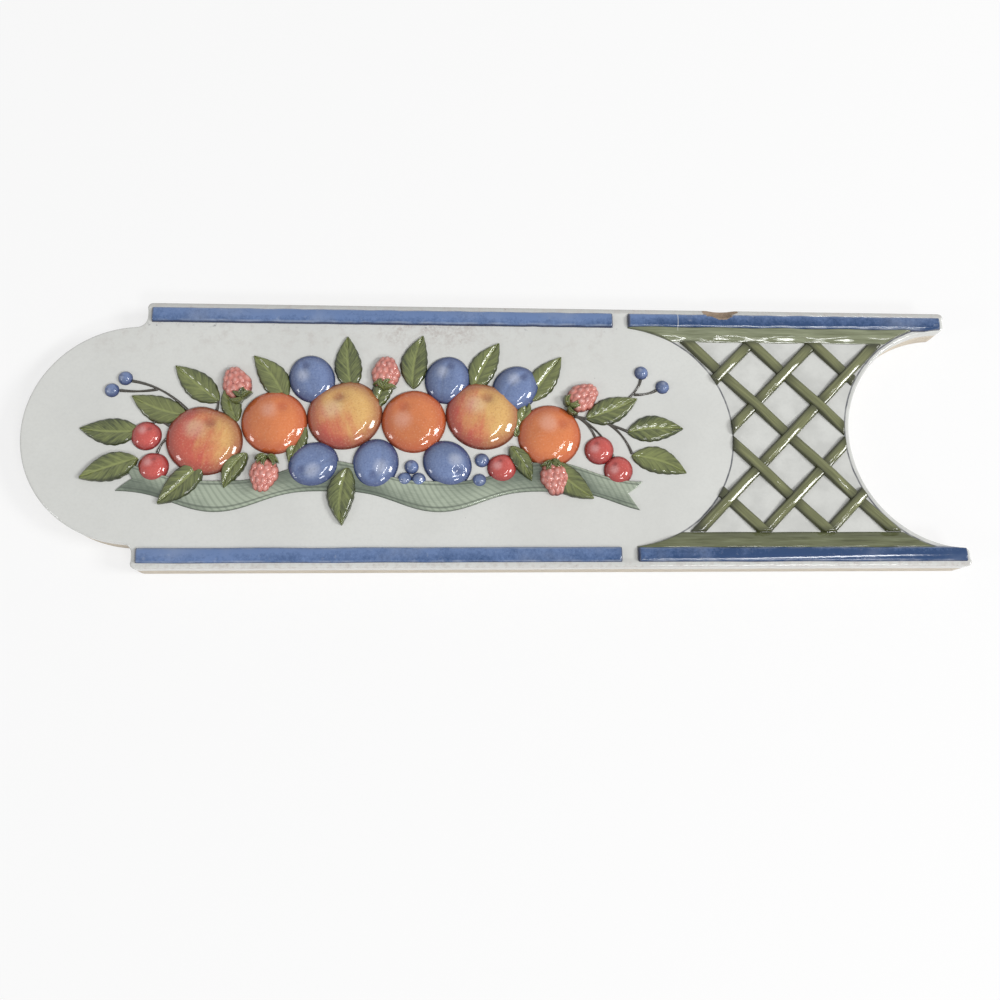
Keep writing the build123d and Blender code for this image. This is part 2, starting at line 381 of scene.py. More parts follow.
def mesh_piece(name, sheets, material, turn_out=False):
    """One object from grids of points: every grid gives its quads by shifting its index array, the
    values of its points become attributes, and rims that meet are welded."""
    verts = np.concatenate([part.points.reshape(-1, 3) for part in sheets]) * MM
    quads, start = [], 0
    for part in sheets:
        shape = part.points.shape[:2]
        index = start + np.arange(shape[0] * shape[1]).reshape(shape)
        ring = [index[:-1, :-1], index[1:, :-1], index[1:, 1:], index[:-1, 1:]]
        quads.append(np.stack(ring[::-1] if part.flip else ring, axis=-1).reshape(-1, 4))
        start += index.size
    quads = np.concatenate(quads)
    mesh = bpy.data.meshes.new(name)
    mesh.vertices.add(len(verts))
    mesh.vertices.foreach_set("co", verts.ravel())
    mesh.loops.add(quads.size)
    mesh.loops.foreach_set("vertex_index", quads.ravel().astype(np.int32))
    mesh.polygons.add(len(quads))
    mesh.polygons.foreach_set("loop_start", np.arange(0, quads.size, 4, dtype=np.int32))
    mesh.polygons.foreach_set("use_smooth", np.ones(len(quads), bool))
    mesh.update(calc_edges=True)
    for key in sheets[0].values:
        values = np.concatenate([part.values[key].ravel() for part in sheets])
        mesh.attributes.new(key, "FLOAT", "POINT").data.foreach_set("value", values.astype(np.float32))
    work = bmesh.new()
    work.from_mesh(mesh)
    bmesh.ops.remove_doubles(work, verts=work.verts, dist=WELD_REACH * MM)
    if turn_out:
        bmesh.ops.recalc_face_normals(work, faces=work.faces)
    work.to_mesh(mesh)
    work.free()
    mesh.validate()
    mesh.materials.append(material)
    piece = bpy.data.objects.new(name, mesh)
    bpy.context.scene.collection.objects.link(piece)
    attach(piece, "root")
    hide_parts("border_tile")


def line_run(start, end, inward):
    """A straight stretch of outline: its length, and points and inward normals at fractions of it."""
    start, end = np.array(start, float), np.array(end, float)

    def points(t):
        return start + t[:, None] * (end - start), np.broadcast_to(np.array(inward, float), (len(t), 2))

    return np.linalg.norm(end - start), points


def arc_run(centre, radius, first, last, hollow=False):
    """A round stretch of outline: inward is towards the centre, or away from it on a hollow arc."""

    def points(t):
        angle = first + t * (last - first)
        ray = np.stack([np.cos(angle), np.sin(angle)], axis=-1)
        return np.array(centre) + radius * ray, ray if hollow else -ray

    return radius * abs(last - first), points


def chain(runs, count):
    """Points and inward normals at even steps along a chain of runs."""
    ends = np.cumsum([0] + [length for length, points in runs])
    along = np.linspace(0, ends[-1], count)
    which = np.clip(np.searchsorted(ends, along, side="right") - 1, 0, len(runs) - 1)
    parts = [points((along[which == k] - ends[k]) / length) for k, (length, points) in enumerate(runs)]
    return [np.concatenate(part) for part in zip(*parts)]


def outline_sides(at, along, across):
    """The tile's four sides in turn, anticlockwise from the lower left corner: the lower edge, the
    hollow end with its tips, the upper edge and the round end with its shoulders."""
    r, half, pi = at.corner_round, at.half_width, np.pi
    low, high = at.shoulder_x, at.tip_x
    tip_dx = at.right_x - high + at.tip_round
    tip_y = np.sqrt((at.hollow_radius + at.tip_round) ** 2 - tip_dx ** 2)
    tip = np.arctan2(tip_y, tip_dx)
    side_dx = low - at.shoulder_round - at.left_x
    side_y = np.sqrt((at.end_radius + at.shoulder_round) ** 2 - side_dx ** 2)
    side = np.arctan2(side_y, side_dx)
    lower = chain([line_run((low + r, -half), (high - r, -half), (0, 1))], along)
    right = chain([
        arc_run((high - r, r - half), r, -pi / 2, 0),
        line_run((high, r - half), (high, -tip_y), (-1, 0)),
        arc_run((high - at.tip_round, -tip_y), at.tip_round, 0, tip),
        arc_run((at.right_x, 0), at.hollow_radius, tip - pi, -tip - pi, hollow=True),
        arc_run((high - at.tip_round, tip_y), at.tip_round, -tip, 0),
        line_run((high, tip_y), (high, half - r), (-1, 0)),
        arc_run((high - r, half - r), r, 0, pi / 2),
    ], across)
    upper = chain([line_run((high - r, half), (low + r, half), (0, -1))], along)
    left = chain([
        arc_run((low + r, half - r), r, pi / 2, pi),
        line_run((low, half - r), (low, side_y), (1, 0)),
        arc_run((low - at.shoulder_round, side_y), at.shoulder_round, 0, side - pi, hollow=True),
        arc_run((at.left_x, 0), at.end_radius, side, 2 * pi - side),
        arc_run((low - at.shoulder_round, -side_y), at.shoulder_round, pi - side, 0, hollow=True),
        line_run((low, -side_y), (low, r - half), (1, 0)),
        arc_run((low + r, r - half), r, pi, 3 * pi / 2),
    ], across)
    return [lower, right, upper, left]


def spanned(sides, inset):
    """The surface spanned by four sides that are moved inwards: both ruled surfaces added, less the
    plane of the corners."""
    lower, right, upper, left = [points + inset * inward for points, inward in sides]
    upper, left = upper[::-1], left[::-1]
    u = np.linspace(0, 1, len(lower))[:, None, None]
    v = np.linspace(0, 1, len(left))[None, :, None]
    ruled = (1 - u) * left[None] + u * right[None] + (1 - v) * lower[:, None] + v * upper[:, None]
    corners = (1 - u) * ((1 - v) * lower[0] + v * upper[0]) + u * ((1 - v) * lower[-1] + v * upper[-1])
    return ruled - corners


def chip_middle(at):
    """The middle of the ball that the chip is broken out by."""
    return np.array(CHIP_PLACE) + (0, at.half_width, at.ground)


def chip_floor(at, x, y):
    """Height of the chip's hollow, an uneven half ball, and far above the tile outside its rim."""
    cx, cy, cz = chip_middle(at)
    rough = 1 + 0.22 * ripple(x * 1.1, y * 1.3, 5) + 0.16 * ripple(x * 3.1, y * 2.7, 8)
    far = (((x - cx) / CHIP_RADII[0]) ** 2 + ((y - cy) / CHIP_RADII[1]) ** 2) * rough
    return np.where(far < 1, cz - CHIP_RADII[2] * np.sqrt(np.maximum(1 - far, 0)), FAR_AWAY)


def ground_at(at, y):
    """Height of the face without its relief: level, with a low lip outside the stripes."""
    return at.ground + at.lip_height * smooth(at.stripe_outer - 0.9, at.stripe_outer - 0.1, np.abs(y))


def back_key(at, x, y):
    """Depth of the keyed back: grooves between ribs along the tile, which end at a plain rim. The
    room to the outline is the least of the distances to its edges and arcs."""
    rib = np.abs((y / at.back_rib_pitch + 0.5) % 1 - 0.5) * at.back_rib_pitch - at.back_rib_width / 2
    room = np.minimum(at.half_width - np.abs(y), np.hypot(x - at.right_x, y) - at.hollow_radius)
    room = np.minimum(room, np.where(x < at.left_x, at.end_radius - np.hypot(x - at.left_x, y), room))
    room = np.where(np.abs(y) > at.end_radius - at.back_land, np.minimum(room, x - at.shoulder_x), room)
    return at.back_depth * smooth(0, 0.4, rib) * smooth(0, 0.8, room - at.back_land)


def body_sheets(at):
    """The tile without its relief: the glazed face and the keyed back are spanned by the outline, and a
    section of rounded edge, upright wall and back bevel is carried round it between them."""
    sides = outline_sides(at, *FACE_STEPS)
    ring = [(points[:-1], inward[:-1]) for points, inward in sides] + [[part[:1] for part in sides[0]]]
    path, inward = [np.concatenate(part) for part in zip(*ring)]
    turn = np.linspace(0, np.pi / 2, EDGE_STEPS)
    drop = np.linspace(at.ground - at.edge_round, at.back_bevel, WALL_STEPS)[1:]
    face_inset = at.edge_round + FACE_MARGIN
    inset = np.concatenate([
        [face_inset], at.edge_round * (1 - np.sin(turn)), np.zeros(len(drop)), [at.back_bevel]])
    lift = np.concatenate([
        [at.ground], at.ground - at.edge_round * (1 - np.cos(turn)), drop, [0]])
    wall = np.empty((len(path), len(inset), 3))
    wall[..., :2] = path[:, None] + inset[None, :, None] * inward[:, None]
    wall[..., 2] = lift
    glazed = wall[:, :EDGE_STEPS + 1]
    glazed[..., 2] += ground_at(at, wall[:, :1, 1]) - at.ground
    plan = spanned(sides, face_inset)
    face = np.concatenate([plan, ground_at(at, plan[..., 1:])], axis=-1)
    plan = spanned(sides, at.back_bevel)
    back = np.concatenate([plan, back_key(at, plan[..., :1], plan[..., 1:])], axis=-1)
    for part in (face, glazed):
        part[..., 2] = np.minimum(part[..., 2], chip_floor(at, part[..., 0], part[..., 1]))
    return [sheet(face), sheet(wall), sheet(back)]


def stripe_sheets(at):
    """Four bars with a rounded rim: the height is a quarter round of the depth inside a rounded
    rectangle, and the sides waver a little, as a trailed glaze does."""
    spans = [
        (at.left_x + at.stripe_gap / 2, at.gap_x - at.stripe_gap / 2),
        (at.gap_x + at.stripe_gap / 2, at.right_x - at.stripe_gap / 2),
    ]
    corner, rim_round, waver, even, clearance = 0.5, 0.6, 0.07, 0.97, 0.25
    ends = np.linspace(even, 1, 9)
    steps = np.concatenate([-ends[::-1], np.linspace(-even, even, 260)[1:-1], ends])
    middle, half = (at.stripe_inner + at.stripe_outer) / 2, (at.stripe_outer - at.stripe_inner) / 2
    sheets = []
    for start, end in spans:
        half_run = (end - start) / 2
        for side in (1, -1):
            u, v = grid(steps, eased(23))
            x = (start + end) / 2 + half_run * u
            y = side * (middle + half * v)
            qx, qy = (np.abs(u) - 1) * half_run + corner, (np.abs(v) - 1) * half + corner
            outside = np.hypot(np.maximum(qx, 0), np.maximum(qy, 0))
            depth = corner - outside - np.minimum(np.maximum(qx, qy), 0)
            depth = depth + waver * ripple(x * 0.5, v * 1.5, 3 + side)
            height = (at.stripe_height + at.relief_sink) * rounded(depth, rim_round)
            height = height * (0.75 + 0.25 * (1 - v * v))
            reach = np.hypot(x - at.right_x, y)
            out = np.maximum(reach, at.hollow_radius + clearance) / reach
            x, y = at.right_x + (x - at.right_x) * out, y * out
            height = np.minimum(height, chip_floor(at, x, y) - at.base)
            sheets += relief(at, x, y, height, x, v * side, end=half_run * (1 - np.abs(u)), edge=depth)
    return sheets


def rail_sheets(at):
    """Two flat half round rails that run from the panel's round end to the hollow end: each row across
    ends on both circles, so a rail tapers to a point along them. The rails swell between the canes."""
    tuck, least = 0.4, 0.02
    sheets = []
    for side in (1, -1):
        u, v = grid(0.5 + 0.5 * eased(260), np.linspace(0, 1, 19))
        y = at.rail_inner + (at.rail_width + tuck) * v
        inner = np.minimum(y, at.stripe_inner - least)
        start = at.panel_arc_x + np.sqrt(at.stripe_inner ** 2 - inner ** 2)
        start = np.maximum(start, at.gap_x + at.stripe_gap / 2)
        end = at.right_x - np.sqrt(at.outline_radius ** 2 - y ** 2)
        x = start + (end - start) * u
        rim = np.minimum(x - start, end - x)
        across = v * at.rail_width
        swell = 0.9 + 0.26 * np.cos(2 * np.pi * (x - at.trellis_x) / at.node_pitch)
        swell = swell + 0.05 * ripple(x * 0.3, v * 3, 11)
        slope = 0.25 * rounded(across, 0.3) + 0.75 * smooth(0, 1.8, across)
        height = (at.rail_height * swell + at.relief_sink) * slope * rounded(rim, 0.8)
        sheets += relief(at, x, side * y, height, x, across, rim=rim, lower=float(side < 0))
    return sheets


def circle_crossings(start, run, centre, radius):
    """Distances along a line at which it enters and leaves a circle; far away where it misses."""
    reach = start - np.array(centre)
    along = reach @ run
    root = along ** 2 - (reach ** 2).sum(-1) + radius ** 2
    half = np.sqrt(np.maximum(root, 0))
    return np.where(root > 0, -along - half, FAR_AWAY), np.where(root > 0, half - along, -FAR_AWAY)


def cane_sheets(at, foot_x, lean):
    """One woven cane: a pillow section along a line at 45 degrees from the lower rail, whose height is
    a cosine with a crest or a hollow at every crossing. It ends on the rails and on both circles. Its
    shade is a bell curve round each crossing where the other cane lies on top."""
    run = np.array([lean, 1.0]) / np.sqrt(2)
    across = np.array([run[1], -run[0]])
    half = at.cane_width / 2
    v = eased(17)
    foot = np.array([foot_x, -at.rail_inner]) + half * v[:, None] * across
    panel = circle_crossings(foot, run, (at.panel_arc_x, 0), at.stripe_inner)
    hollow = circle_crossings(foot, run, (at.right_x, 0), at.outline_radius)
    behind, ahead = (panel, hollow) if lean > 0 else (hollow, panel)
    rail_y = at.rail_inner + 0.2
    low = np.maximum((-rail_y - foot[:, 1]) / run[1], behind[1])
    high = np.minimum((rail_y - foot[:, 1]) / run[1], ahead[0])
    t = np.linspace(0, 1, 120)[:, None]
    t = 0.75 * t + 0.25 * (0.5 - 0.5 * np.cos(np.pi * t))
    along = low + (high - low) * t
    x = foot[:, 0] + along * run[0]
    y = foot[:, 1] + along * run[1]
    wave = -lean * np.cos(np.pi * along / at.cross_pitch)
    end = np.minimum(along - low, high - along)
    section = (1 - 0.40 * (np.sqrt(v * v + 0.0625) - 0.25)) * rounded((1 - np.abs(v)) * half, 0.45)
    lumps = 1 + 0.05 * ripple(along * 0.9, v * 0.8, 17)
    height = (at.cane_height + at.cane_wave * wave) * section * lumps
    height = (height + at.relief_sink) * rounded(end, 0.5)
    under = ((along / at.cross_pitch + (lean > 0)) % 2 - 1) * at.cross_pitch
    return relief(at, x, y, height, along + 60 * foot_x, v, shade=np.exp(-(under / 2.5) ** 2), end=end)


def trellis_sheets(at):
    """All canes: five lean right and five lean left from even steps along the lower rail."""
    sheets = []
    for step in range(-2, 3):
        reach = (step - 1.5) * at.node_pitch
        sheets += cane_sheets(at, at.trellis_x + reach, 1)
        sheets += cane_sheets(at, at.trellis_x - reach, -1)
    return sheets


def fruit_sheets(at, kind, spots, seed, stretch=1.0, dimple=0.0, crease=0.0, notch=0.0):
    """Fruits of one kind: each is a dome over a disc that is stretched along its stem and notched
    where the stem leaves it, with a dimple below the stem and a crease from stem to tip. The stem
    is at +x."""
    radius, height = getattr(at, kind + "_radius"), getattr(at, kind + "_height")
    a, b = disc_grid(45)
    r, angle = np.hypot(a, b), np.arctan2(b, a)
    dome = np.maximum(1 - r ** 2.3, 0) ** 0.62
    hole = np.exp(-(((a - 0.52) / 0.2) ** 2 + (b / 0.24) ** 2))
    line = np.exp(-((b - 0.22 * (1 - a * a)) / 0.07) ** 2) * (1 - r ** 4)
    lift = (height + at.relief_sink) * dome - dimple * hole - crease * line
    sheets = []
    for number, spot in enumerate(spots, seed):
        lumps = 0.018 * ripple(np.cos(angle) * 1.5, np.sin(angle) * 1.5, number)
        rim = radius * (1 - notch * np.exp(-(angle / 0.38) ** 2) + lumps)
        x, y = on_panel(at, a * rim * stretch, b * rim / stretch, spot)
        tone = np.random.default_rng(number).uniform(0, 1)
        sheets += relief(at, x, y, lift, a, b, rim=r, tone=tone)
    return sheets


def leaf_sheets(at, spot, length, width, seed, raised=0.0, steps=(61, 23)):
    """A leaf: the half width is a power of a sine along the midrib, with a few soft teeth. The blade is
    domed on both sides of a groove, waves with its side veins, and bends a little to one side."""
    s, v = grid(0.5 + 0.5 * eased(steps[0]), eased(steps[1]))
    rng = np.random.default_rng(seed)
    bend, tone = rng.uniform(-1, 1), rng.uniform(0, 1)
    half = 0.5 * width * np.sin(np.pi * s ** 0.82) ** 0.85
    teeth = 1 + 0.07 * np.abs(np.sin(np.pi * 6.5 * s)) * np.abs(v)
    side = v * half * teeth + bend * 1.1 * (1 - (2 * s - 1) ** 2)
    x, y = on_panel(at, (s - 0.5) * length, side, spot)
    groove = np.exp(-(v / 0.10) ** 2)
    veins = np.sin(2 * np.pi * (6 * s - 1.6 * np.abs(v)))
    blade = 0.55 + 0.45 * np.sin(np.pi * np.minimum(np.abs(v), 1)) - 0.30 * groove + 0.05 * veins
    depth = np.minimum((1 - np.abs(v)) * half, np.minimum(s, 1 - s) * length * 0.5)
    height = at.leaf_height * blade * (0.75 + 0.25 * np.sin(np.pi * s)) + raised + at.relief_sink
    return relief(at, x, y, height * rounded(depth, 0.45), s, v, tone=tone)


def foliage_sheets(at):
    """The garland's leaves, large ones first. Those that reach down to the ribbon are raised over it."""
    sheets = []
    kinds = [(LEAVES, 1, 40, -8.5), (SMALL_LEAVES, SMALL_LEAF_SHARE, 80, -5)]
    for spots, share, seed, ribbon_y in kinds:
        length, width = share * at.leaf_length, share * at.leaf_width
        for number, spot in enumerate(spots, seed):
            raised = at.leaf_raise * (spot[1] < ribbon_y)
            sheets += leaf_sheets(at, spot, length, width, number, raised)
    return sheets


def raspberry_sheets(at):
    """Raspberries: a dome over a disc that narrows away from its stem, with beads in staggered rows. A
    bead is a half round of the distance to the nearest bead's middle."""
    row_pitch, bead_pitch, bead_radius, shift = 0.36, 0.42, 0.26, 0.03
    row, place = grid(np.arange(-3, 4), np.arange(-3, 4))
    beads = np.stack([row * row_pitch, (place + 0.5 * (row % 2)) * bead_pitch], axis=-1).reshape(-1, 2)
    beads = beads[np.hypot(beads[:, 0], beads[:, 1]) < 1.05]
    a, b = disc_grid(61)
    r = np.hypot(a, b)
    dome = np.maximum(1 - r ** 2.6, 0) ** 0.5
    sheets = []
    for number, spot in enumerate(RASPBERRIES, 120):
        rng = np.random.default_rng(number)
        middles = beads + rng.uniform(-shift, shift, beads.shape)
        away = np.hypot(a[..., None] - middles[:, 0], b[..., None] - middles[:, 1])
        bead = np.sqrt(np.maximum(1 - (away.min(-1) / bead_radius) ** 2, 0.02))
        tone = rng.uniform(0, 1, len(beads))[away.argmin(-1)]
        scallop = at.raspberry_radius * (1 - 0.10 * (1 - bead) * smooth(0.6, 1, r))
        x, y = on_panel(at, a * scallop, b * scallop * (0.80 + 0.16 * a), spot)
        height = (at.raspberry_height * (0.66 + 0.34 * bead) + at.relief_sink) * dome
        sheets += relief(at, x, y, height, a, b, bead=bead, rim=r, tone=tone)
    return sheets


def cap_sheets(at):
    """The green caps of the raspberries: five small leaves that fan back from each stem, every other one
    a little higher."""
    stem, reach, step_up, seed, steps = 0.95 * at.raspberry_radius, 1.3, 0.15, 140, (31, 15)
    sheets = []
    for spot in RASPBERRIES:
        for sepal, fan in enumerate(SEPAL_FAN):
            degrees = spot[2] + 180 + fan
            place = turned(reach, 0, degrees, turned(stem, 0, spot[2], spot))
            raised = at.cap_raise + step_up * (sepal % 2)
            sepal_spot = (*place, degrees)
            sheets += leaf_sheets(at, sepal_spot, at.cap_length, at.cap_width, seed, raised, steps)
            seed += 1
    return sheets


def ribbon_sheets(at):
    """The ribbon: a strip along a sine, with its width at right angles to it, forked at both ends and
    raised a little on each crest as if it rolled over."""
    u, v = grid(eased(321), eased(25))
    reach, fork = 2.36 * at.ribbon_pitch, 3.2
    along = u * (reach - fork * (1 - np.abs(v)))
    phase = np.pi * (along + 2 * at.ribbon_pitch) / at.ribbon_pitch
    middle = -at.ribbon_drop - at.ribbon_wave * np.sin(phase)
    slope = -at.ribbon_wave * np.cos(phase) * np.pi / at.ribbon_pitch
    bent = np.sqrt(1 + slope ** 2)
    half = at.ribbon_width / 2 * (1 - 0.16 * np.cos(2 * phase))
    x = at.panel_x + along - half * v * slope / bent
    y = middle + half * v / bent
    depth = np.minimum((1 - np.abs(v)) * half, (1 - np.abs(u)) * reach)
    fold = np.sin(phase + 1.2 * v)
    height = (at.ribbon_height + 0.16 * fold + at.relief_sink) * rounded(depth, 0.4)
    return relief(at, x, y, height, along, v, fold=fold)


def twig_sheets(at):
    """Stems: a half round that is thicker at both ends, along a curve of second degree that a middle
    point bends."""
    sheets = []
    for curve in TWIGS:
        s, v = grid(np.linspace(0, 1, 41), eased(9))
        p0, p1, p2 = np.array(curve)
        t = s[..., None]
        spine = (1 - t) ** 2 * p0 + 2 * t * (1 - t) * p1 + t ** 2 * p2
        way = 2 * (1 - t) * (p1 - p0) + 2 * t * (p2 - p1)
        way /= np.linalg.norm(way, axis=-1, keepdims=True)
        half = at.twig_radius * (0.75 + 0.5 * np.abs(2 * s - 1))
        x = at.panel_x + spine[..., 0] + half * v * way[..., 1]
        y = spine[..., 1] - half * v * way[..., 0]
        height = (at.twig_height + at.relief_sink) * np.sqrt(1 - v * v)
        sheets += relief(at, x, y, height, s, v)
    return sheets


# Materials


class Wire:
    """A value in a node tree. Its operators add Math nodes."""

    def __init__(self, nodes, socket):
        self.nodes, self.socket = nodes, socket

    def __add__(self, other):
        return self.nodes.math("ADD", self, other)

    def __sub__(self, other):
        return self.nodes.math("SUBTRACT", self, other)

    def __rsub__(self, other):
        return self.nodes.math("SUBTRACT", other, self)

    def __mul__(self, other):
        return self.nodes.math("MULTIPLY", self, other)

    def __truediv__(self, other):
        return self.nodes.math("DIVIDE", self, other)

    def __rtruediv__(self, other):
        return self.nodes.math("DIVIDE", other, self)

    def __pow__(self, other):
        return self.nodes.math("POWER", self, other)

    def __rpow__(self, other):
        return self.nodes.math("POWER", other, self)

    def __lt__(self, other):
        return self.nodes.math("LESS_THAN", self, other)

    def __gt__(self, other):
        return self.nodes.math("GREATER_THAN", self, other)

    def __abs__(self):
        return self.nodes.math("ABSOLUTE", self)

    __radd__ = __add__
    __rmul__ = __mul__

    def sine(self):
        return self.nodes.math("SINE", self)

    def clamp(self):
        return self.nodes.math("ADD", self, 0, clamp=True)

    def step(self, low, high):
        """0 at low and 1 at high, with an S curve between them; low may be the larger."""
        settings = {"interpolation_type": "SMOOTHSTEP"}
        ends = {"Value": self, "From Min": low, "From Max": high, "To Min": 0, "To Max": 1}
        return self.nodes.node("ShaderNodeMapRange", settings, ends, "Result")


class Nodes:
    """An emptied node tree, whose nodes all come from one method."""

    def __init__(self, owner):
        owner.use_nodes = True
        self.tree = owner.node_tree
        self.tree.nodes.clear()

    def node(self, kind, settings=None, sockets=None, output=0):
        """Adds a node: its settings are set first, then the values or links of its sockets."""
        node = self.tree.nodes.new(kind)
        for key, value in (settings or {}).items():
            setattr(node, key, value)
        for key, value in (sockets or {}).items():
            socket = node.inputs[key]
            if isinstance(value, Wire):
                self.tree.links.new(value.socket, socket)
            else:
                socket.default_value = (*value, 1) if socket.type == "RGBA" else value
        return None if output is None else Wire(self, node.outputs[output])

    def math(self, operation, *values, clamp=False):
        """A Math node on values and numbers."""
        settings = {"operation": operation, "use_clamp": clamp}
        return self.node("ShaderNodeMath", settings, dict(enumerate(values)))

    def mix(self, share, first, second):
        """Two colours mixed by a share from 0 to 1."""
        return self.node("ShaderNodeMix", {"data_type": "RGBA"}, {0: share, 6: first, 7: second}, 2)

    def seen_directly(self):
        """1 for rays from the camera and for those in reflections and glass."""
        rays = ("Is Camera Ray", "Is Glossy Ray", "Is Transmission Ray")
        camera, glossy, glass = [self.node("ShaderNodeLightPath", output=ray) for ray in rays]
        return (camera + glossy + glass).clamp()


class Finish(Nodes):
    """A material that is painted in layers, each laid over the tone below it."""

    def __init__(self, name, tone):
        self.material = bpy.data.materials.new(name)
        super().__init__(self.material)
        self.tone = tone
        self.place = self.node("ShaderNodeTexCoord", output="Object")
        split = "ShaderNodeSeparateXYZ", None, {"Vector": self.place}
        self.x, self.y, self.z = [self.node(*split, axis) / MM for axis in "XYZ"]

    def values(self, *names):
        """Values that the mesh carries on its points."""
        kind = "ShaderNodeAttribute"
        return [self.node(kind, {"attribute_name": name}, None, "Fac") for name in names]

    def noise(self, scale, detail=3.0, rough=0.5, where=None):
        """Soft noise from 0 to 1; the scale counts per metre, or per unit of the given coordinates."""
        sockets = {"Vector": where or self.place, "Scale": scale, "Detail": detail, "Roughness": rough}
        return self.node("ShaderNodeTexNoise", None, sockets, "Fac")

    def streaks(self, x, y, detail, rough=0.5):
        """Noise that follows a piece's own coordinates."""
        return self.noise(1.0, detail, rough, self.node("ShaderNodeCombineXYZ", None, {"X": x, "Y": y}))

    def lay(self, share, colour):
        """Lays a colour over the tone; the share is held between 0 and 1."""
        self.tone = self.mix(share, self.tone, colour)

    def bump(self, height, depth, strength=1.0, **below):
        """A normal for fine relief, to a depth in millimetres."""
        sockets = {"Height": height, "Distance": depth * MM, "Strength": strength, **below}
        return self.node("ShaderNodeBump", None, sockets, "Normal")

    def orange_peel(self, depth=0.03):
        """The faint waviness of a fired glaze."""
        return self.bump(self.noise(460.0, 2.0), depth)

    def grain(self, height, depth, strength=1.0):
        """Fine relief on top of the glaze's waviness."""
        return self.bump(height, depth, strength, Normal=self.orange_peel())

    def shade(self, normal, rough=GLAZE_ROUGH):
        """Ends the material in one shader with the refraction of a lead glaze."""
        sockets = {"Base Color": self.tone, "Roughness": rough, "Normal": normal, "IOR": GLAZE_IOR}
        shader = self.node("ShaderNodeBsdfPrincipled", None, sockets)
        self.node("ShaderNodeOutputMaterial", None, {"Surface": shader}, None)
        return self.material


def toned(colour, factor):
    """A colour made lighter or darker by a factor."""
    return tuple(min(1, factor * part) for part in colour)


def blended(first, second, share):
    """Two plain colours mixed by a plain share."""
    return tuple(a + share * (b - a) for a, b in zip(first, second))


def lay_chip(glaze, at, paints):
    """Lays broken clay where the chip has bared it, with a ragged border, and gives the chip's mask."""
    cx, cy, cz = chip_middle(at)
    ragged = (glaze.noise(420.0, 4.0, 0.6) - 0.5) * 1.7
    far = ((glaze.x - cx) / CHIP_RADII[0]) ** 2 + ((glaze.y - cy) / CHIP_RADII[1]) ** 2
    chip = (far + ragged).step(1.1, 0.9) * (glaze.z > at.ground - CHIP_RADII[2])
    glaze.lay(chip, glaze.mix(glaze.noise(1100.0, 4.0), paints.clay, toned(paints.clay, 0.55)))
    return chip


def lay_crack(glaze, paints, share):
    """Lays the fine pale crack that crosses the upper stripe and rail and wanders a little."""
    near = abs(glaze.x - CRACK_X + (glaze.noise(240.0) - 0.5) * 0.35)
    crack = near.step(0.16, 0.05) * glaze.y.step(*CRACK_FOOT) * glaze.z.step(*CRACK_DEPTH)
    glaze.lay(crack * share, paints.ground)


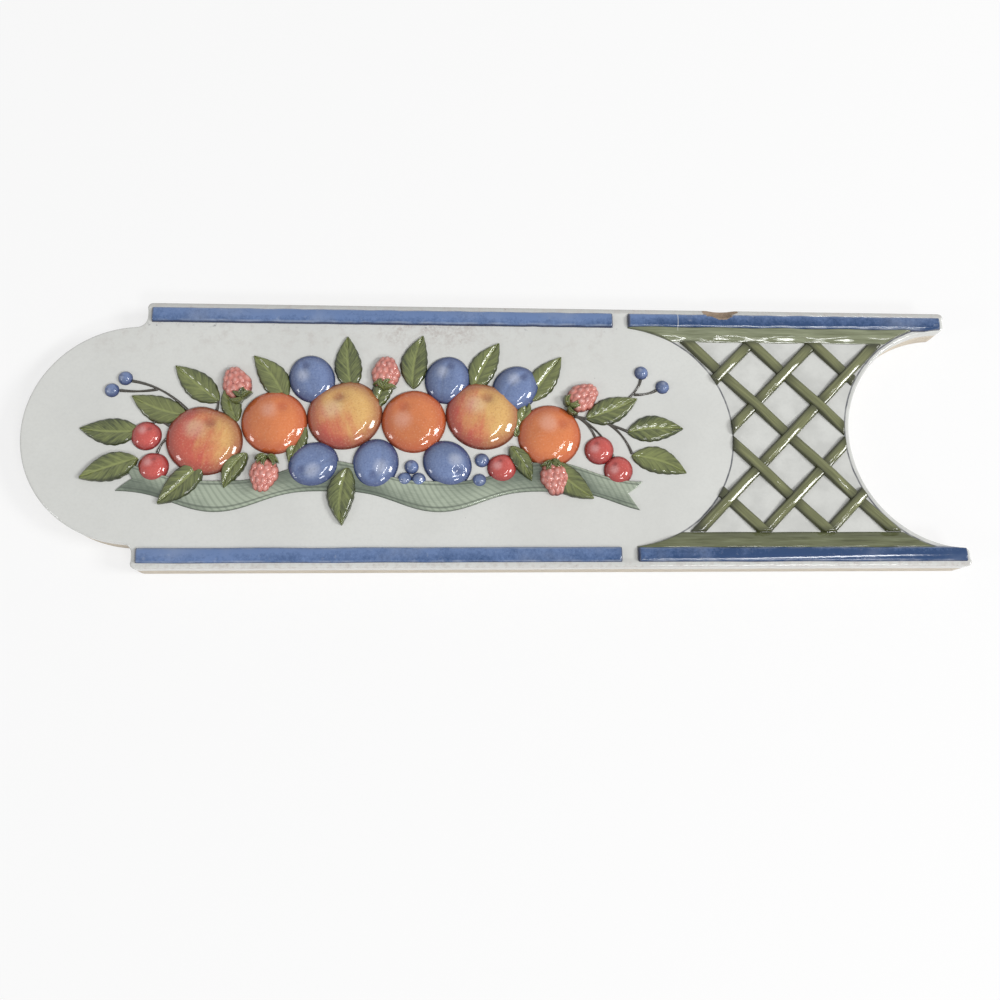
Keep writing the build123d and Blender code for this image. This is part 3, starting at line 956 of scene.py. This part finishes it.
def body_finish(at, paints):
    """Pale grey glaze with faint mottling, stains, pinholes and drawn outlines; bare clay below."""
    glaze = Finish("ground_glaze", paints.ground)
    x, y, z = glaze.x, glaze.y, glaze.z
    glaze.lay((glaze.noise(38.0, 5.0, 0.6) - 0.42) * 1.5, toned(paints.ground, 0.82))
    glaze.lay((glaze.noise(1500.0, 2.0) - 0.42) * 0.8, toned(paints.ground, 0.84))
    stain = y.step(*STAIN_TOP) * (x < at.gap_x) * glaze.noise(420.0, 5.0, 0.7).step(0.46, 0.76)
    glaze.lay(stain * 0.5, paints.smudge)
    glaze.lay(glaze.noise(9.0).step(0.5, 0.75) * 0.10, paints.smudge)
    smudge = x.step(*SMUDGE_LEFT) * x.step(*SMUDGE_RIGHT) * y.step(*SMUDGE_TOP)
    spread = glaze.noise(260.0, 5.0, 0.65).step(0.32, 0.66)
    spots = glaze.noise(1300.0, 4.0, 0.7).step(0.36, 0.62)
    glaze.lay(smudge * spread * spots, paints.smudge)

    cells = {"Vector": glaze.place, "Scale": 130.0}
    pits = glaze.node("ShaderNodeTexVoronoi", None, cells, "Distance")
    chosen = glaze.node("ShaderNodeTexVoronoi", None, cells, "Color")
    lucky = glaze.node("ShaderNodeSeparateColor", None, {"Color": chosen}, "Red") > 0.80
    glaze.lay(pits.step(0.038, 0.018) * lucky * 0.7, paints.line)

    edge = abs(abs(y) - (at.stripe_outer + at.half_width) / 2).step(1.0, 0.2)
    speckle = glaze.noise(800.0, 4.0, 0.65)
    glaze.lay(edge * (0.15 + y.step(-5, 5) * 0.70), toned(paints.ground, 0.72))
    glaze.lay(edge * speckle.step(0.42, 0.66) * 0.55, paints.smudge)
    glaze.lay(edge * speckle.step(0.66, 0.74) * 0.6, paints.line)
    rim_dirt = abs(y - at.stripe_inner + 0.5).step(0.9, 0.2) * (x < at.gap_x)
    glaze.lay(rim_dirt * speckle.step(0.6, 0.7) * 0.55, paints.line)

    uneven = (glaze.noise(300.0) - 0.5) * 0.25
    panel = ((x - at.panel_arc_x) ** 2 + y ** 2) ** 0.5 - at.stripe_inner - 0.15 + uneven
    hollow = ((x - at.right_x) ** 2 + y ** 2) ** 0.5 - at.outline_radius + 0.15 + uneven
    between = abs(y) < at.stripe_inner
    # Painted shade: the trellis ground is greyed a little, and more in soft blotches, for the shadows of
    # the canes.
    behind = panel.step(-0.2, 0.2) * (x > at.gap_x) * between
    wash = glaze.noise(150.0, 4.0, 0.6).step(0.38, 0.68)
    glaze.lay(behind * (0.10 + wash * 0.45), toned(paints.ground, 0.70))
    panel_line = abs(panel).step(0.26, 0.12) * (x > at.gap_x + 4)
    hollow_line = abs(hollow).step(0.26, 0.12) * (x < at.right_x - 6)
    drawn = (panel_line + hollow_line).clamp() * between
    glaze.lay(drawn * (0.65 + 0.35 * glaze.noise(500.0).step(0.3, 0.6)), paints.line)

    dip = (z + (glaze.noise(120.0) - 0.5) * 1.6).step(*DIP_LINE)
    bare = glaze.mix(glaze.noise(700.0, 5.0, 0.7) * 0.5, paints.bisque, toned(paints.bisque, 0.8))
    glaze.lay(1 - dip, bare)
    glossy = dip * (1 - lay_chip(glaze, at, paints))
    grain = glaze.grain(glaze.noise(1500.0, 4.0) * (1 - glossy), 0.2)
    return glaze.shade(grain, BARE_ROUGH + (GLAZE_ROUGH - BARE_ROUGH) * glossy)


def stripe_finish(at, paints):
    """Blue glaze brushed on in blotches, deeper towards the right, thin on the rim and lined in navy."""
    glaze = Finish("stripe_blue_glaze", paints.stripe)
    x, y = glaze.x, glaze.y
    v, edge, end = glaze.values("v", "edge", "end")
    blotch = glaze.noise(170.0, 5.0, 0.62)
    wash = glaze.streaks(x * 0.018, y * 0.4, 3.0)
    grit = glaze.noise(1500.0, 3.0, 0.7)
    far = x.step(10, 60) * 0.66 + x.step(-70, 50) * y.step(5, -5) * 0.40
    deep = far - v * 0.45 + (blotch - 0.5) * 1.3 + (wash - 0.5) * 0.9 + 0.08
    glaze.lay(deep + (grit - 0.5) * 1.3, paints.stripe_deep)
    glaze.lay(glaze.noise(60.0).step(0.52, 0.72) * 0.35, blended(paints.stripe, paints.ground, 0.35))
    pale = blended(paints.stripe, paints.ground, 0.5)
    glaze.lay(glaze.noise(600.0, 4.0, 0.7).step(0.58, 0.8) * 0.35, pale)
    thin = edge.step(0.75, 0.35) * edge.step(0.1, 0.3)
    glaze.lay(thin * 0.45 * glaze.noise(260.0).step(0.3, 0.7), pale)
    ragged = (glaze.noise(420.0) - 0.5) * 0.3
    lined = (edge + ragged).step(0.34, 0.12) * (0.35 + 0.65 * v.step(0.2, -0.6))
    glaze.lay((lined + (end + ragged).step(0.7, 0.25)).clamp() * 0.85, paints.stripe_edge)
    lay_crack(glaze, paints, 0.5)
    chip = lay_chip(glaze, at, paints)
    return glaze.shade(glaze.orange_peel(0.025), GLAZE_ROUGH + (BARE_ROUGH - GLAZE_ROUGH) * chip)


def cane_finish(paints):
    """Olive glaze streaked along each cane, dark at its ends, dark at its sides as a drawn line and as
    painted shade on its flanks, and with painted shade where another cane lies on top.
    """
    glaze = Finish("cane_olive_glaze", paints.cane)
    u, v, shade, end = glaze.values("u", "v", "shade", "end")
    streak = glaze.streaks(u * 0.09, v * 2.6, 4.0, 0.62)
    fine = glaze.streaks(u * 0.25, v * 9.0, 2.0)
    glaze.lay((streak - 0.42) * 2.2 + (fine - 0.5) * 0.9, paints.cane_deep)
    glaze.lay(streak.step(0.48, 0.30) * 0.45, toned(paints.cane, 1.7))
    # Dark sides: partly a drawn line, partly painted shade on the sloping flanks.
    glaze.lay(abs(v).step(0.5, 0.92) * 0.85, toned(paints.cane_deep, 0.45))
    glaze.lay(end.step(2.4, 0.3) * 0.75, toned(paints.cane_deep, 0.6))
    # Painted shade where the other cane lies on top at a crossing.
    glaze.lay(shade * (1.0 + 0.4 * (fine - 0.5)) * 0.9, toned(paints.cane_deep, 0.42))
    return glaze.shade(glaze.grain(streak * 0.6 + fine * 0.4, 0.03, 0.8))


def rail_finish(paints):
    """Greyer olive glaze, streaked along the rail and darker towards its sides."""
    glaze = Finish("rail_olive_glaze", paints.rail)
    u, v, lower, rim = glaze.values("u", "v", "lower", "rim")
    streak = glaze.streaks(u * 0.10, v * 1.5, 4.0, 0.62)
    fine = glaze.streaks(u * 0.3, v * 5.0, 2.0)
    dark = toned(paints.cane_deep, 0.5)
    glaze.lay(lower * 0.66, paints.cane_deep)
    glaze.lay((streak - 0.4) * 2.0 + (fine - 0.5) * 0.8, paints.cane_deep)
    glaze.lay(streak.step(0.45, 0.3) * (0.5 - lower * 0.25), toned(paints.rail, 1.35))
    glaze.lay(streak.step(0.52, 0.68) * lower * 0.5, dark)
    glaze.lay(v.step(0.7, 0.1) * 0.6, dark)
    glaze.lay(rim.step(0.8, 0.1) * 0.5, dark)
    lay_crack(glaze, paints, 0.4)
    return glaze.shade(glaze.grain(streak * 0.6 + fine * 0.4, 0.03, 0.8))


def fruit_finish(name, light, deep, blush_and_side_shade, pored=False, highlight_boost=0.0):
    """Painted fruit: light skin with a blush over one side on apples and painted shade there on the
    other kinds, painted shade towards the rim and in the stem dimple, a dark drawn rim and a soft
    painted highlight.
    """
    glaze = Finish(name, light)
    u, v, rim, shift = glaze.values("u", "v", "rim", "tone")
    wash = glaze.noise(130.0, 4.0, 0.6)
    brush = glaze.streaks(u * 0.9 + shift * 7, v * 4.5, 3.0, 0.6)
    lean = v * 0.34 - u * 0.22 + 0.5 + (wash - 0.5) * 0.7 + (brush - 0.5) * 0.6 + (shift - 0.5) * 0.3
    # One side of each fruit: a real red blush on apples; on the other fruit, a darker copy of the skin
    # laid there as painted shade.
    glaze.lay(lean.step(0.2, 0.85), blush_and_side_shade)
    # Painted shade: the skin deepens over the outer half of each dome towards its rim.
    glaze.lay(rim.step(0.55, 0.98) * 0.75, deep)
    # Painted highlight: a soft pale spot on each fruit, made stronger on plums and cherries.
    shine = (((u - 0.18) ** 2 + (v - 0.28) ** 2) ** 0.5 + (wash - 0.5) * 0.3).step(0.42, 0.05)
    glaze.lay(shine * (0.28 + highlight_boost), blended(light, WHITE, 0.5))
    # Painted shade in and round the stem dimple.
    hole = (((u - 0.52) ** 2 + v ** 2) ** 0.5).step(0.26, 0.05)
    glaze.lay(hole * 0.55, deep)
    glaze.lay(rim.step(0.90, 0.99) * 0.85, toned(deep, 0.35))
    stipple = glaze.noise(2200.0, 3.0, 0.6)
    glaze.lay(stipple.step(0.48, 0.72) * 0.30, deep)
    glaze.lay(stipple.step(0.46, 0.26) * 0.22, blended(light, WHITE, 0.35))
    return glaze.shade(glaze.grain(glaze.noise(900.0, 2.0), 0.06) if pored else glaze.orange_peel())


def leaf_finish(name, paints):
    """Painted leaf: olive that deepens in strokes towards the rim, with pale midrib and side veins."""
    glaze = Finish(name, paints.leaf)
    s, v, shift = glaze.values("u", "v", "tone")
    light = toned(paints.leaf, 1.75)
    vein = s * 6.0 - abs(v) * 1.6
    wash = glaze.noise(150.0, 4.0, 0.62)
    stroke = glaze.streaks(vein * 2.4 + shift * 11, v * 1.3, 4.0, 0.65)
    glaze.lay(shift, light)
    deep = 0.32 + abs(v) * 0.35 + (wash - 0.5) * 1.3 + (stroke - 0.5) * 2.0 + (shift - 0.5) * 0.7
    glaze.lay(deep, paints.leaf_deep)
    glaze.lay((vein * (2 * np.pi)).sine().step(0.80, 1.0) * 0.30, light)
    glaze.lay(abs(v).step(0.13, 0.03) * 0.7, light)
    glaze.lay(abs(v).step(0.72, 0.98) * 0.75, toned(paints.leaf_deep, 0.4))
    return glaze.shade(glaze.orange_peel())


def raspberry_finish(paints):
    """Painted raspberry: uneven pink beads, a painted highlight on each top, painted shade between them,
    deep pink rim.
    """
    glaze = Finish("raspberry_pink_glaze", paints.raspberry)
    bead, rim, shift = glaze.values("bead", "rim", "tone")
    uneven = 0.2 + shift * 0.6 + (glaze.noise(260.0) - 0.5) * 0.8
    glaze.lay(uneven, blended(paints.raspberry, paints.raspberry_deep, 0.45))
    # Painted highlight on the top of each bead.
    glaze.lay(bead.step(0.86, 1.0) * 0.55, blended(paints.raspberry, WHITE, 0.25))
    # Painted shade in deep pink in the hollows between the beads.
    glaze.lay(bead.step(0.72, 0.25) * 0.85, paints.raspberry_deep)
    glaze.lay(rim.step(0.86, 1.0) * 0.75, toned(paints.raspberry_deep, 0.4))
    return glaze.shade(glaze.orange_peel())


def twig_finish(paints):
    """Brown twigs that deepen in blotches and towards both sides."""
    glaze = Finish("twig_brown_glaze", paints.twig)
    (v,) = glaze.values("v")
    glaze.lay((glaze.noise(500.0, 4.0, 0.65) - 0.4) * 2.0, toned(paints.twig, 0.5))
    glaze.lay(abs(v).step(0.6, 1.0) * 0.6, toned(paints.twig, 0.25))
    return glaze.shade(glaze.orange_peel())


def ribbon_finish(paints):
    """Grey green ribbon: fine threads along it under a twill, painted shade in its folds, lined at its
    edges.
    """
    glaze = Finish("ribbon_grey_green_glaze", toned(paints.ribbon, 1.25))
    u, v, fold = glaze.values("u", "v", "fold")
    twill_pitch = 1.5
    wash = glaze.noise(140.0, 4.0, 0.6)
    thread = glaze.streaks(u * 0.2, v * 14.0, 2.0)
    twill = ((u + v * 2.6 + (wash - 0.5) * 0.8) * (2 * np.pi / twill_pitch)).sine()
    # Painted shade: deeper where the ribbon's folds dip, in soft washes.
    glaze.lay(0.42 - fold * 0.45 + (wash - 0.5) * 1.2 + (thread - 0.5) * 0.7, paints.ribbon_deep)
    glaze.lay(twill.step(-0.2, 0.9) * 0.32, paints.ribbon_deep)
    glaze.lay(abs(abs(v) - 0.74).step(0.09, 0.03) * 0.6, toned(paints.ribbon_deep, 0.6))
    glaze.lay(abs(v).step(0.9, 1.0) * 0.75, toned(paints.ribbon_deep, 0.4))
    return glaze.shade(glaze.grain(thread, 0.03))


def floor_finish():
    """A pale floor that looks nearly white but keeps the tile's shadow."""
    material = bpy.data.materials.new("pale_floor")
    nodes = Nodes(material)
    lit = nodes.node("ShaderNodeBsdfDiffuse", None, {"Color": FLOOR_COLOUR})
    white = nodes.node("ShaderNodeEmission", None, {"Color": WHITE, "Strength": 1.0})
    shares = {0: nodes.seen_directly() * FLOOR_GLOW, 1: lit, 2: white}
    mixed = nodes.node("ShaderNodeMixShader", None, shares)
    nodes.node("ShaderNodeOutputMaterial", None, {"Surface": mixed}, None)
    return material


# Operators


class PieceOperator:
    """Shared settings of the operators."""

    bl_options = {"REGISTER", "UNDO"}


class BORDERTILE_OT_body(PieceOperator, Operator):
    """Add the glazed body with its outline, edges, chip and keyed back"""

    bl_idname = "border_tile.body"
    bl_label = "Body"

    def execute(self, context):
        at = places(context)
        mesh_piece("tile_body", body_sheets(at), body_finish(at, tint(context)), turn_out=True)
        return {"FINISHED"}


class BORDERTILE_OT_stripes(PieceOperator, Operator):
    """Add the raised blue stripes along both long edges"""

    bl_idname = "border_tile.stripes"
    bl_label = "Stripes"

    def execute(self, context):
        at = places(context)
        mesh_piece("edge_stripes", stripe_sheets(at), stripe_finish(at, tint(context)))
        return {"FINISHED"}


class BORDERTILE_OT_trellis(PieceOperator, Operator):
    """Add the woven canes and the two rails that hold them"""

    bl_idname = "border_tile.trellis"
    bl_label = "Trellis"

    def execute(self, context):
        at, paints = places(context), tint(context)
        mesh_piece("trellis_canes", trellis_sheets(at), cane_finish(paints))
        mesh_piece("trellis_rails", rail_sheets(at), rail_finish(paints))
        return {"FINISHED"}


class BORDERTILE_OT_ribbon(PieceOperator, Operator):
    """Add the waved ribbon behind the garland"""

    bl_idname = "border_tile.ribbon"
    bl_label = "Ribbon"

    def execute(self, context):
        mesh_piece("ribbon", ribbon_sheets(places(context)), ribbon_finish(tint(context)))
        return {"FINISHED"}


class BORDERTILE_OT_foliage(PieceOperator, Operator):
    """Add the leaves, twigs and raspberry caps of the garland"""

    bl_idname = "border_tile.foliage"
    bl_label = "Foliage"

    def execute(self, context):
        at, paints = places(context), tint(context)
        mesh_piece("leaves", foliage_sheets(at), leaf_finish("leaf_olive_glaze", paints))
        mesh_piece("raspberry_caps", cap_sheets(at), leaf_finish("cap_olive_glaze", paints))
        mesh_piece("twigs", twig_sheets(at), twig_finish(paints))
        return {"FINISHED"}


class BORDERTILE_OT_fruit(PieceOperator, Operator):
    """Add the apples, oranges, plums, cherries, raspberries and berries of the garland"""

    bl_idname = "border_tile.fruit"
    bl_label = "Fruit"

    def execute(self, context):
        at, paints = places(context), tint(context)
        red, orange, plum, cherry = paints.apple_red, paints.orange, paints.plum, paints.cherry
        mesh_piece(
            "apples", fruit_sheets(at, "apple", APPLES, 10, stretch=0.97, dimple=0.7, notch=0.07),
            fruit_finish("apple_red_glaze", paints.apple_gold, toned(red, 0.45), red))
        mesh_piece(
            "oranges", fruit_sheets(at, "orange", ORANGES, 20, dimple=0.35),
            fruit_finish("orange_glaze", orange, paints.orange_deep, toned(orange, 0.8), pored=True))
        mesh_piece(
            "plums", fruit_sheets(at, "plum", PLUMS, 30, stretch=1.06, dimple=0.3, crease=0.22),
            fruit_finish("plum_blue_glaze", plum, paints.plum_deep, toned(plum, 0.75), highlight_boost=0.2))
        mesh_piece(
            "berries", fruit_sheets(at, "berry", BERRIES, 90, dimple=0.12),
            fruit_finish("berry_blue_glaze", plum, paints.plum_deep, toned(plum, 0.6)))
        mesh_piece("raspberries", raspberry_sheets(at), raspberry_finish(paints))
        mesh_piece(
            "cherries", fruit_sheets(at, "cherry", CHERRIES, 60, dimple=0.35, notch=0.05),
            fruit_finish("cherry_red_glaze", cherry, paints.cherry_deep, toned(cherry, 0.8), highlight_boost=0.1))
        return {"FINISHED"}


class BORDERTILE_OT_stage(PieceOperator, Operator):
    """Add the floor, the light and the camera"""

    bl_idname = "border_tile.stage"
    bl_label = "Stage"

    def execute(self, context):
        scene, stage = context.scene, context.scene.border_tile_stage
        half = stage.floor_size / 2
        corners = [(-half, -half, 0), (half, -half, 0), (half, half, 0), (-half, half, 0)]
        mesh = bpy.data.meshes.new("floor")
        mesh.from_pydata(corners, [], [(0, 1, 2, 3)])
        mesh.materials.append(floor_finish())
        placed(scene, "floor", mesh)
        for lamp in LAMPS:
            add_lamp(scene, *lamp)
        light_world(scene)
        add_camera(scene, stage)
        scene.view_settings.view_transform = "Standard"
        return {"FINISHED"}


def placed(scene, name, data):
    """A new object in the scene."""
    thing = bpy.data.objects.new(name, data)
    scene.collection.objects.link(thing)
    return thing


def add_lamp(scene, name, place, extent, power):
    """A rectangular lamp that points at the tile."""
    data = bpy.data.lights.new(name, "AREA")
    data.shape = "RECTANGLE"
    data.size, data.size_y = extent
    data.energy = power
    lamp = placed(scene, name, data)
    lamp.location = place
    lamp.rotation_mode = "QUATERNION"
    lamp.rotation_quaternion = (Vector(LAMP_TARGET) - Vector(place)).to_track_quat("-Z", "Y")


def light_world(scene):
    """An even pale sky, white where it is seen."""
    world = bpy.data.worlds.new("studio")
    nodes = Nodes(world)
    strength = SKY_LIGHT + (1 - SKY_LIGHT) * nodes.seen_directly()
    glow = nodes.node("ShaderNodeBackground", None, {"Color": WHITE, "Strength": strength})
    nodes.node("ShaderNodeOutputWorld", None, {"Surface": glow}, None)
    scene.world = world


def add_camera(scene, stage):
    """A camera at the photograph's place, turned by its back and upward directions."""
    data = bpy.data.cameras.new("photo_camera")
    data.lens = stage.lens
    data.clip_start = 0.01
    camera = placed(scene, "photo_camera", data)
    back = Vector(stage.camera_back).normalized()
    right = Vector(stage.camera_up).cross(back).normalized()
    turn = Matrix((right, back.cross(right), back)).transposed().to_4x4()
    camera.matrix_world = Matrix.Translation(stage.camera_place) @ turn
    scene.camera = camera


class BORDERTILE_PT_panel(Panel):
    """Border tile in the sidebar"""

    bl_idname = "BORDERTILE_PT_panel"
    bl_label = "Border Tile"
    bl_space_type = "VIEW_3D"
    bl_region_type = "UI"
    bl_category = "Border Tile"

    def draw(self, context):
        column = self.layout.column(align=True)
        for operator in OPERATORS:
            column.operator(operator.bl_idname)
        for name, group in GROUPS.items():
            box = self.layout.box()
            for key in group.__annotations__:
                box.prop(getattr(context.scene, name), key)


OPERATORS = (
    BORDERTILE_OT_body,
    BORDERTILE_OT_stripes,
    BORDERTILE_OT_trellis,
    BORDERTILE_OT_ribbon,
    BORDERTILE_OT_foliage,
    BORDERTILE_OT_fruit,
    BORDERTILE_OT_stage,
)
GROUPS = {
    "border_tile_sizes": BorderTileSizes,
    "border_tile_paints": BorderTilePaints,
    "border_tile_stage": BorderTileStage,
}
CLASSES = (*GROUPS.values(), *OPERATORS, BORDERTILE_PT_panel)


def register():
    for cls in CLASSES:
        bpy.utils.register_class(cls)
    for name, group in GROUPS.items():
        setattr(bpy.types.Scene, name, PointerProperty(type=group))


def unregister():
    for name in GROUPS:
        delattr(bpy.types.Scene, name)
    for cls in reversed(CLASSES):
        bpy.utils.unregister_class(cls)


def main():
    register()
    bpy.ops.border_tile.body()
    bpy.ops.border_tile.stripes()
    bpy.ops.border_tile.trellis()
    bpy.ops.border_tile.ribbon()
    bpy.ops.border_tile.foliage()
    bpy.ops.border_tile.fruit()
    bpy.ops.border_tile.stage()


if __name__ == "__main__":
    main()
